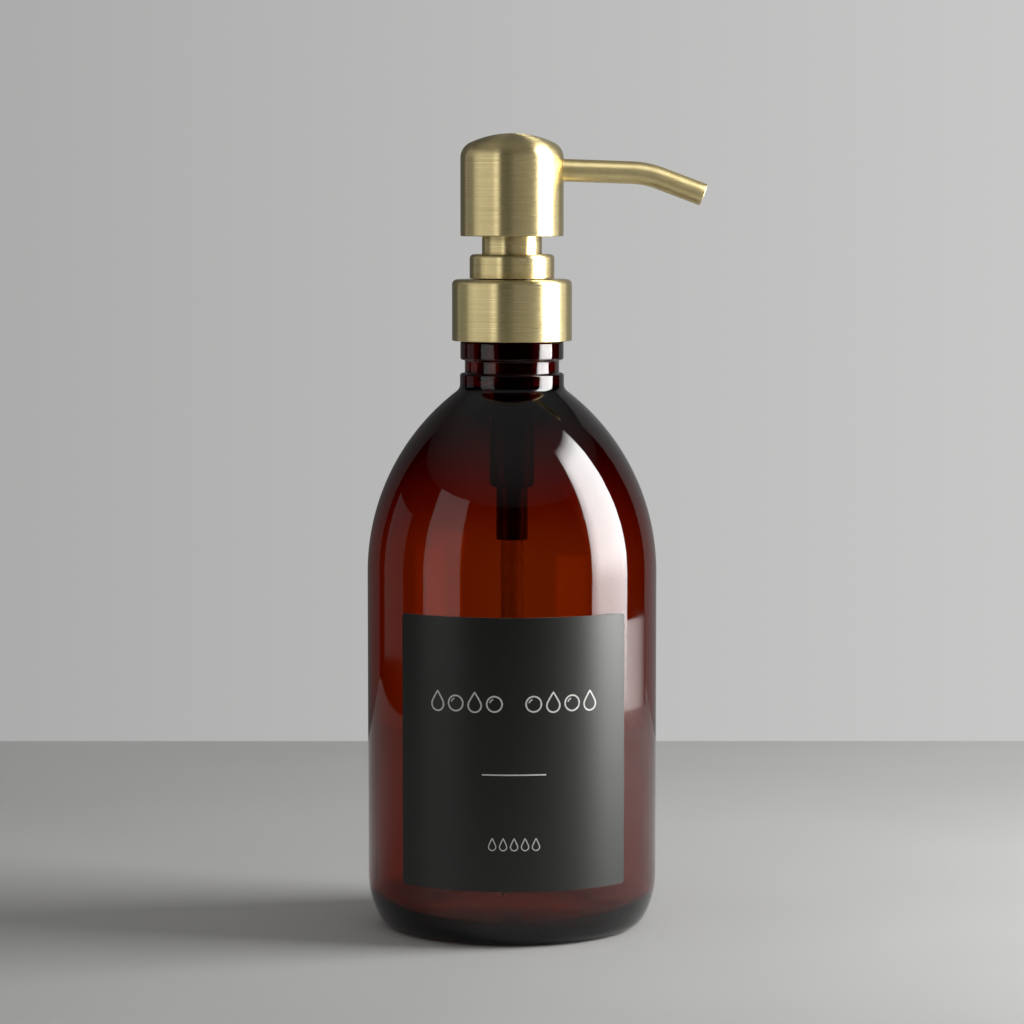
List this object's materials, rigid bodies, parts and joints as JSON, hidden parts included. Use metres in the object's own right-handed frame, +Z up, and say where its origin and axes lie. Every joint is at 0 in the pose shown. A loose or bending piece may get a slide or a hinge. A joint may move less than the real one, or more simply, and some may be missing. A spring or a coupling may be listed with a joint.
{
  "type": "soap pump dispenser",
  "caption": "Round-shouldered amber glass bottle with a screw-on lotion pump: domed brushed metal head and a bent metal spout.",
  "frame": {"origin": "middle of the bottle's base, on the surface it stands on", "axes": "+Z up along the bottle's and the pump's common axis, +X towards the spout, -Y towards the label"},
  "size_m": [0.0909, 0.0779, 0.2124],
  "materials": {
    "amber_glass": "gloss",
    "label_paper": "satin",
    "brushed_brass": "brushed",
    "spout_brass": "satin",
    "black_plastic": "moulded",
    "natural_plastic": "moulded",
    "seal_rubber": "matt",
    "valve_steel": "polished",
    "spring_steel": "drawn wire"
  },
  "bodies": {
    "bottle": {"bottle": "amber_glass", "front_label": "label_paper"},
    "pump": {"neck_gasket": "seal_rubber", "ring_shell": "brushed_brass", "tower_sleeve": "brushed_brass", "stem_guide": "black_plastic", "stem_seal": "seal_rubber", "pump_housing": "black_plastic", "dip_tube": "natural_plastic", "ball_cage": "natural_plastic", "return_spring": "spring_steel"},
    "collar": {"collar_shell": "brushed_brass", "collar_liner": "black_plastic"},
    "inlet_valve": {"inlet_ball": "valve_steel"},
    "plunger": {"piston": "natural_plastic"},
    "head": {"stem": "natural_plastic", "actuator_core": "black_plastic", "head_shell": "brushed_brass", "spout_tube": "spout_brass", "spout_liner": "natural_plastic"},
    "outlet_valve": {"outlet_ball": "valve_steel"}
  },
  "joints": [
    {"name": "pump_rise", "type": "slide", "parent": "bottle", "child": "pump", "axis": [0, 0, 1], "range_m": [0, 0.00636]},
    {"name": "collar_turn", "type": "hinge", "parent": "pump", "child": "collar", "pos_m": [0, 0, 0.1655], "axis": [0, 0, 1], "range_deg": [0, 540]},
    {"name": "head_press", "type": "slide", "parent": "pump", "child": "plunger", "axis": [0, 0, 1], "range_m": [-0.011, 0], "stiffness_N_per_m": 1364, "springref_m": 0.00367, "deforming": ["return_spring"]},
    {"name": "head_swivel", "type": "hinge", "parent": "plunger", "child": "head", "pos_m": [0, 0, 0.2], "axis": [0, 0, 1], "continuous": true},
    {"name": "inlet_ball_lift", "type": "slide", "parent": "pump", "child": "inlet_valve", "axis": [0, 0, 1], "range_m": [0, 0.0015]},
    {"name": "outlet_ball_lift", "type": "slide", "parent": "head", "child": "outlet_valve", "axis": [0, 0, 1], "range_m": [0, 0.0015]}
  ],
  "couplings": [
    {"joint": "pump_rise", "follows": "collar_turn", "m_per_rad": 0.00067375}
  ]
}
